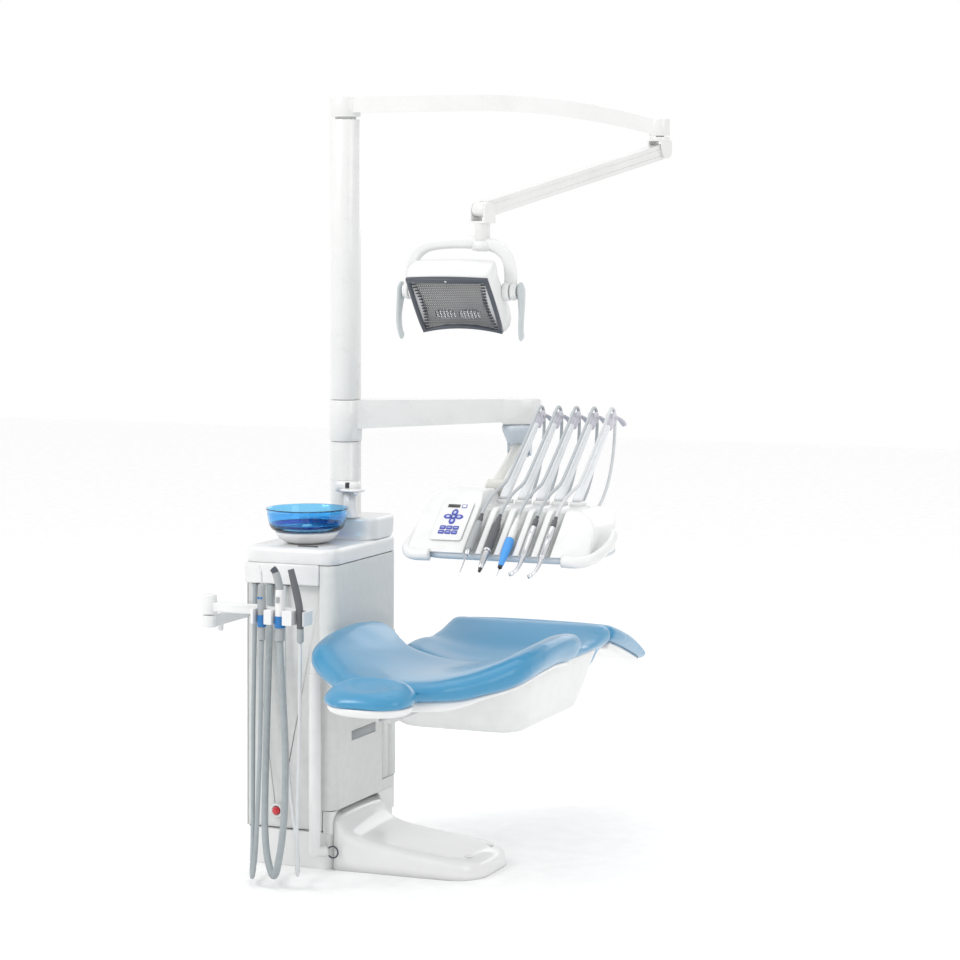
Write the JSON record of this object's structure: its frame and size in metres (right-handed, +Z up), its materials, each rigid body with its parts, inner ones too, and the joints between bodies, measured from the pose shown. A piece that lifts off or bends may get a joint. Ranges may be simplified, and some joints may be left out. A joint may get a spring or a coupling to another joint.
{
  "type": "dental treatment unit with chair",
  "caption": "Dental treatment unit with patient chair, spittoon bowl, jointed examination lamp, instrument console with whip arms and suction holder.",
  "frame": {"origin": "point on the floor under the mast's axis", "axes": "+X to the operator's side, +Y towards the patient's feet, +Z up"},
  "size_m": [1.1945, 1.7817, 2.188],
  "materials": {
    "casting": "gloss white enamel",
    "panel": "satin white panel",
    "cover": "gloss white moulding",
    "arm_paint": "gloss white enamel on aluminium",
    "steel": "bright",
    "grey_plastic": "satin grey",
    "tray": "satin blue grey",
    "button": "gloss red",
    "bowl_glass": "clear blue glass",
    "upholstery": "smooth blue synthetic leather",
    "lamp_shell": "gloss white moulding",
    "beige_arm": "satin off-white enamel",
    "keys": "blue key pad",
    "tool_grey": "dark grey grip",
    "tool_blue": "blue grip",
    "chrome": "polished",
    "hose": "satin grey hose",
    "ceramic_white": "gloss white"
  },
  "bodies": {
    "root": {"base_plate": "casting", "base_foot": "casting", "lift_column": "steel", "front_panel": "panel", "side_panel": "panel", "rear_shell": "panel", "top_cover": "cover", "bowl_base": "ceramic_white", "cup_filler": "cover", "mast": "arm_paint", "drain_pipe": "cover", "assist_bracket": "cover"},
    "button": {"stop_button": "button"},
    "bowl": {"glass_bowl": "bowl_glass"},
    "chair": {"lift_arm": "casting", "seat_shell": "cover", "seat_cushion": "upholstery"},
    "backrest": {"backrest_shell": "cover", "backrest_cushion": "upholstery"},
    "headrest_slider": {"headrest_stem": "steel"},
    "headrest": {"headrest_shell": "cover", "headrest_cushion": "upholstery"},
    "legrest": {"legrest_shell": "cover", "legrest_cushion": "upholstery"},
    "lamp_arm": {"light_arm": "arm_paint"},
    "lamp_elbow": {"light_elbow_hub": "arm_paint"},
    "lamp_spring": {"spring_arm": "arm_paint"},
    "lamp_carrier": {"light_post": "arm_paint"},
    "lamp_fork": {"light_yoke": "lamp_shell"},
    "lamp": {"light_head": "lamp_shell", "light_handles": "grey_plastic"},
    "boom": {"delivery_arm": "arm_paint"},
    "boom_elbow": {"elbow_cone": "tray"},
    "console_boom": {"console_arm": "beige_arm"},
    "console_carrier": {"console_knuckle": "tray"},
    "console": {"console_shell": "cover", "console_tray": "tray", "keypad": "keys", "air_syringe": "tool_grey", "micromotor": "tool_grey", "scaler": "tool_blue", "contra_angle": "chrome", "turbine": "chrome", "hose_1": "hose", "hose_2": "hose", "hose_3": "hose", "hose_4": "hose", "hose_5": "hose"},
    "assist": {"assist_arm": "cover", "assist_syringe": "tool_grey", "suction_large": "grey_plastic", "suction_small": "grey_plastic", "syringe_hose": "hose", "suction_hose": "hose", "saliva_hose": "hose"},
    "whip_arm_1": {"whip_1": "arm_paint"},
    "whip_arm_2": {"whip_2": "arm_paint"},
    "whip_arm_3": {"whip_3": "arm_paint"},
    "whip_arm_4": {"whip_4": "arm_paint"},
    "whip_arm_5": {"whip_5": "arm_paint"}
  },
  "joints": [
    {"name": "stop_button_press", "type": "slide", "parent": "root", "child": "button", "axis": [0, 1, 0], "range_m": [0, 0.004], "stiffness_N_per_m": 400},
    {"name": "bowl_lift", "type": "slide", "parent": "root", "child": "bowl", "axis": [0, 0, 1], "range_m": [0, 0.05]},
    {"name": "chair_lift", "type": "slide", "parent": "root", "child": "chair", "axis": [0, 0, 1], "range_m": [-0.2, 0.1]},
    {"name": "backrest_recline", "type": "hinge", "parent": "chair", "child": "backrest", "pos_m": [0.495, -0.2, 0.52], "axis": [-1, 0, 0], "range_deg": [0, 25]},
    {"name": "headrest_extend", "type": "slide", "parent": "backrest", "child": "headrest_slider", "axis": [0, -1, 0], "range_m": [0, 0.08]},
    {"name": "headrest_tilt", "type": "hinge", "parent": "headrest_slider", "child": "headrest", "pos_m": [0.495, -0.792, 0.548], "axis": [-1, 0, 0], "range_deg": [-25, 15]},
    {"name": "legrest_fold", "type": "hinge", "parent": "chair", "child": "legrest", "pos_m": [0.495, 0.248, 0.578], "axis": [-1, 0, 0], "range_deg": [0, 30]},
    {"name": "lamp_swing", "type": "hinge", "parent": "root", "child": "lamp_arm", "pos_m": [0, 0, 2.06], "axis": [0, 0, 1], "range_deg": [-90, 90]},
    {"name": "lamp_elbow_swing", "type": "hinge", "parent": "lamp_arm", "child": "lamp_elbow", "pos_m": [0.99, -0.04, 2.055], "axis": [0, 0, 1], "range_deg": [-60, 100]},
    {"name": "lamp_tilt", "type": "hinge", "parent": "lamp_elbow", "child": "lamp_spring", "pos_m": [0.99, -0.04, 2.02], "axis": [-0.9191, 0.3939, 0], "range_deg": [-25, 20]},
    {"name": "lamp_level", "type": "hinge", "parent": "lamp_spring", "child": "lamp_carrier", "pos_m": [0.72, -0.67, 1.858], "axis": [-0.9191, 0.3939, 0], "range_deg": [-20, 25]},
    {"name": "lamp_yaw", "type": "hinge", "parent": "lamp_carrier", "child": "lamp_fork", "pos_m": [0.72, -0.67, 1.765], "axis": [0, 0, 1], "range_deg": [-90, 90]},
    {"name": "lamp_pitch", "type": "hinge", "parent": "lamp_fork", "child": "lamp", "pos_m": [0.658, -0.67, 1.644], "axis": [1, 0, 0], "range_deg": [-30, 30]},
    {"name": "boom_swing", "type": "hinge", "parent": "root", "child": "boom", "pos_m": [0, 0, 1.24], "axis": [0, 0, 1], "range_deg": [-5, 75]},
    {"name": "boom_elbow_swing", "type": "hinge", "parent": "boom", "child": "boom_elbow", "pos_m": [0.45, 0.25, 1.24], "axis": [0, 0, 1], "range_deg": [-5, 60]},
    {"name": "console_tilt", "type": "hinge", "parent": "boom_elbow", "child": "console_boom", "pos_m": [0.45, 0.25, 1.15], "axis": [-0.9737, -0.2276, 0], "range_deg": [-10, 12]},
    {"name": "console_level", "type": "hinge", "parent": "console_boom", "child": "console_carrier", "pos_m": [0.54, -0.135, 1.074], "axis": [-0.9737, -0.2276, 0], "range_deg": [-12, 10]},
    {"name": "console_yaw", "type": "hinge", "parent": "console_carrier", "child": "console", "pos_m": [0.54, -0.135, 1.02], "axis": [0, 0, 1], "range_deg": [-30, 10]},
    {"name": "assist_swing", "type": "hinge", "parent": "root", "child": "assist", "pos_m": [-0.15, -0.56, 0.75], "axis": [0, 0, 1], "range_deg": [-80, 12], "deforming": ["syringe_hose", "suction_hose", "saliva_hose"]},
    {"name": "whip_1_swing", "type": "hinge", "parent": "console", "child": "whip_arm_1", "pos_m": [0.585, -0.19, 1.058], "axis": [1, 0, 0], "range_deg": [0, 30], "stiffness_Nm_per_rad": 0.6, "springref_deg": -51.57, "deforming": ["hose_1"]},
    {"name": "whip_2_swing", "type": "hinge", "parent": "console", "child": "whip_arm_2", "pos_m": [0.6395, -0.19, 1.058], "axis": [1, 0, 0], "range_deg": [0, 30], "stiffness_Nm_per_rad": 0.6, "springref_deg": -51.57, "deforming": ["hose_2"]},
    {"name": "whip_3_swing", "type": "hinge", "parent": "console", "child": "whip_arm_3", "pos_m": [0.694, -0.19, 1.058], "axis": [1, 0, 0], "range_deg": [0, 30], "stiffness_Nm_per_rad": 0.6, "springref_deg": -51.57, "deforming": ["hose_3"]},
    {"name": "whip_4_swing", "type": "hinge", "parent": "console", "child": "whip_arm_4", "pos_m": [0.7485, -0.19, 1.058], "axis": [1, 0, 0], "range_deg": [0, 30], "stiffness_Nm_per_rad": 0.6, "springref_deg": -51.57, "deforming": ["hose_4"]},
    {"name": "whip_5_swing", "type": "hinge", "parent": "console", "child": "whip_arm_5", "pos_m": [0.803, -0.19, 1.058], "axis": [1, 0, 0], "range_deg": [0, 30], "stiffness_Nm_per_rad": 0.6, "springref_deg": -51.57, "deforming": ["hose_5"]}
  ],
  "couplings": [
    {"joint": "lamp_level", "follows": "lamp_tilt", "ratio": -1},
    {"joint": "console_level", "follows": "console_tilt", "ratio": -1}
  ]
}
